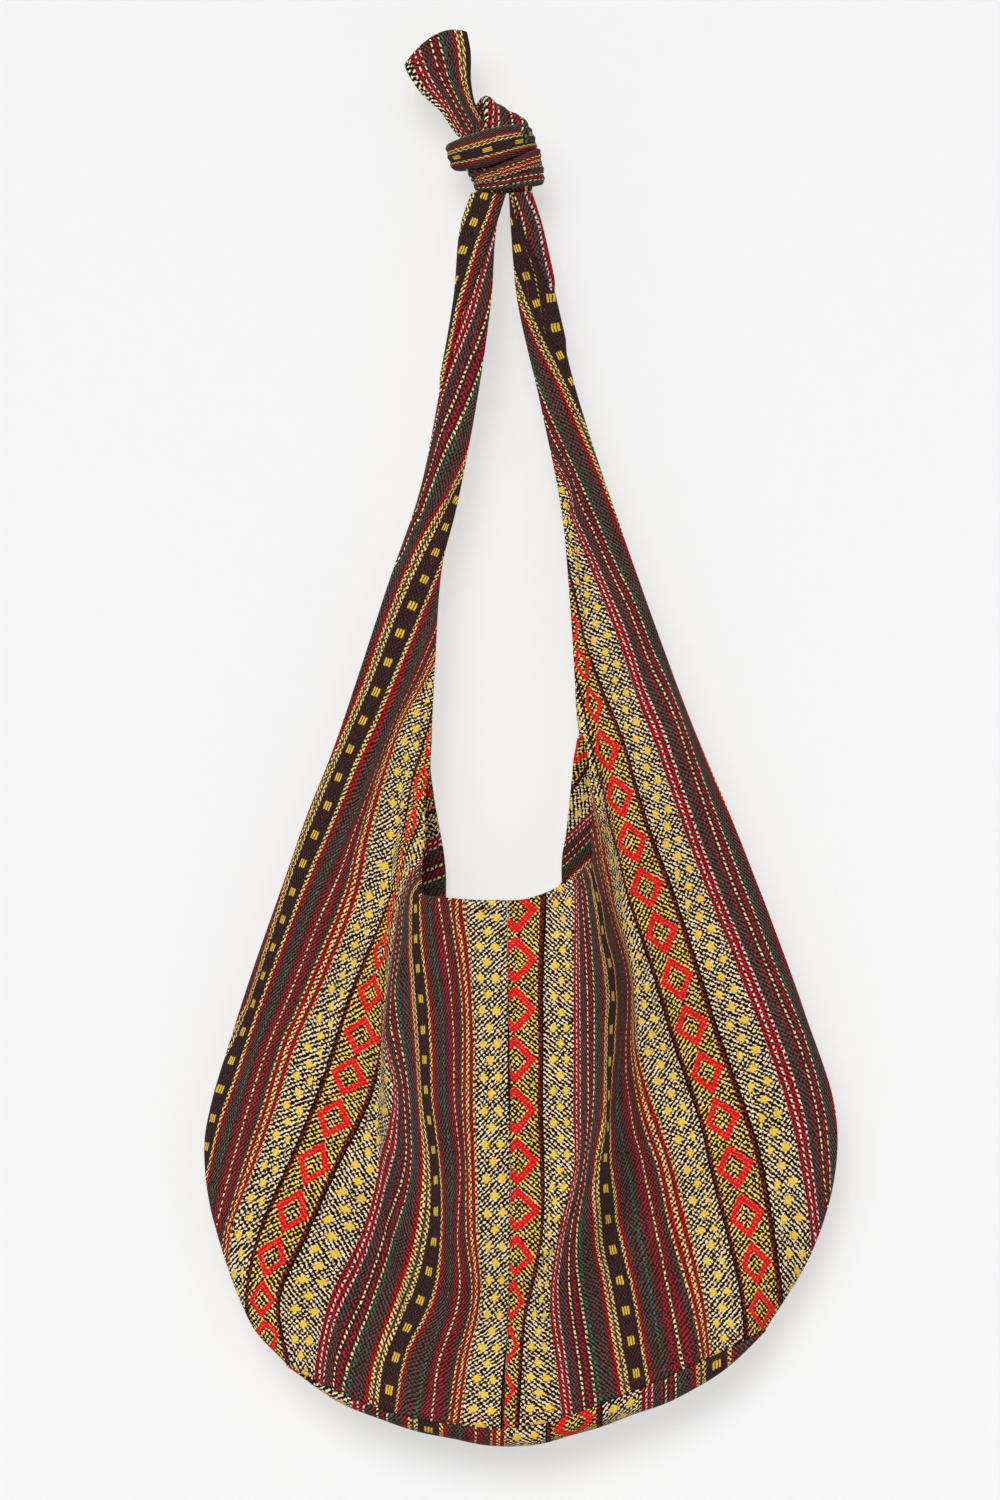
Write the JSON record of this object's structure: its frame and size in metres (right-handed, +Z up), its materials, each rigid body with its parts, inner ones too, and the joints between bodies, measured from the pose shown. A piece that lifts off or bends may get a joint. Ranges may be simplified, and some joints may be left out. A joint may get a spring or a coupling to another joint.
{
  "type": "crossbody bag",
  "caption": "Soft woven striped cloth sling bag with folded sides, an open scooped mouth, a bottom gusset and long arms tied in a knot to hang or wear it.",
  "frame": {"origin": "the hang point: the crotch of the strap, close under the knot, where a peg or a shoulder carries the bag", "axes": "+Z up along the hanging bag, +X to the right seen from the front, +Y from the front to the back"},
  "size_m": [0.4114, 0.0906, 0.9237],
  "materials": {
    "striped_cloth": "plain-woven cotton with coloured warp stripes, matt"
  },
  "bodies": {
    "root": {"left_half": "striped_cloth", "right_half": "striped_cloth", "bottom_gusset": "striped_cloth", "strap_knot": "striped_cloth", "left_tail": "striped_cloth", "right_tail": "striped_cloth"}
  },
  "joints": []
}
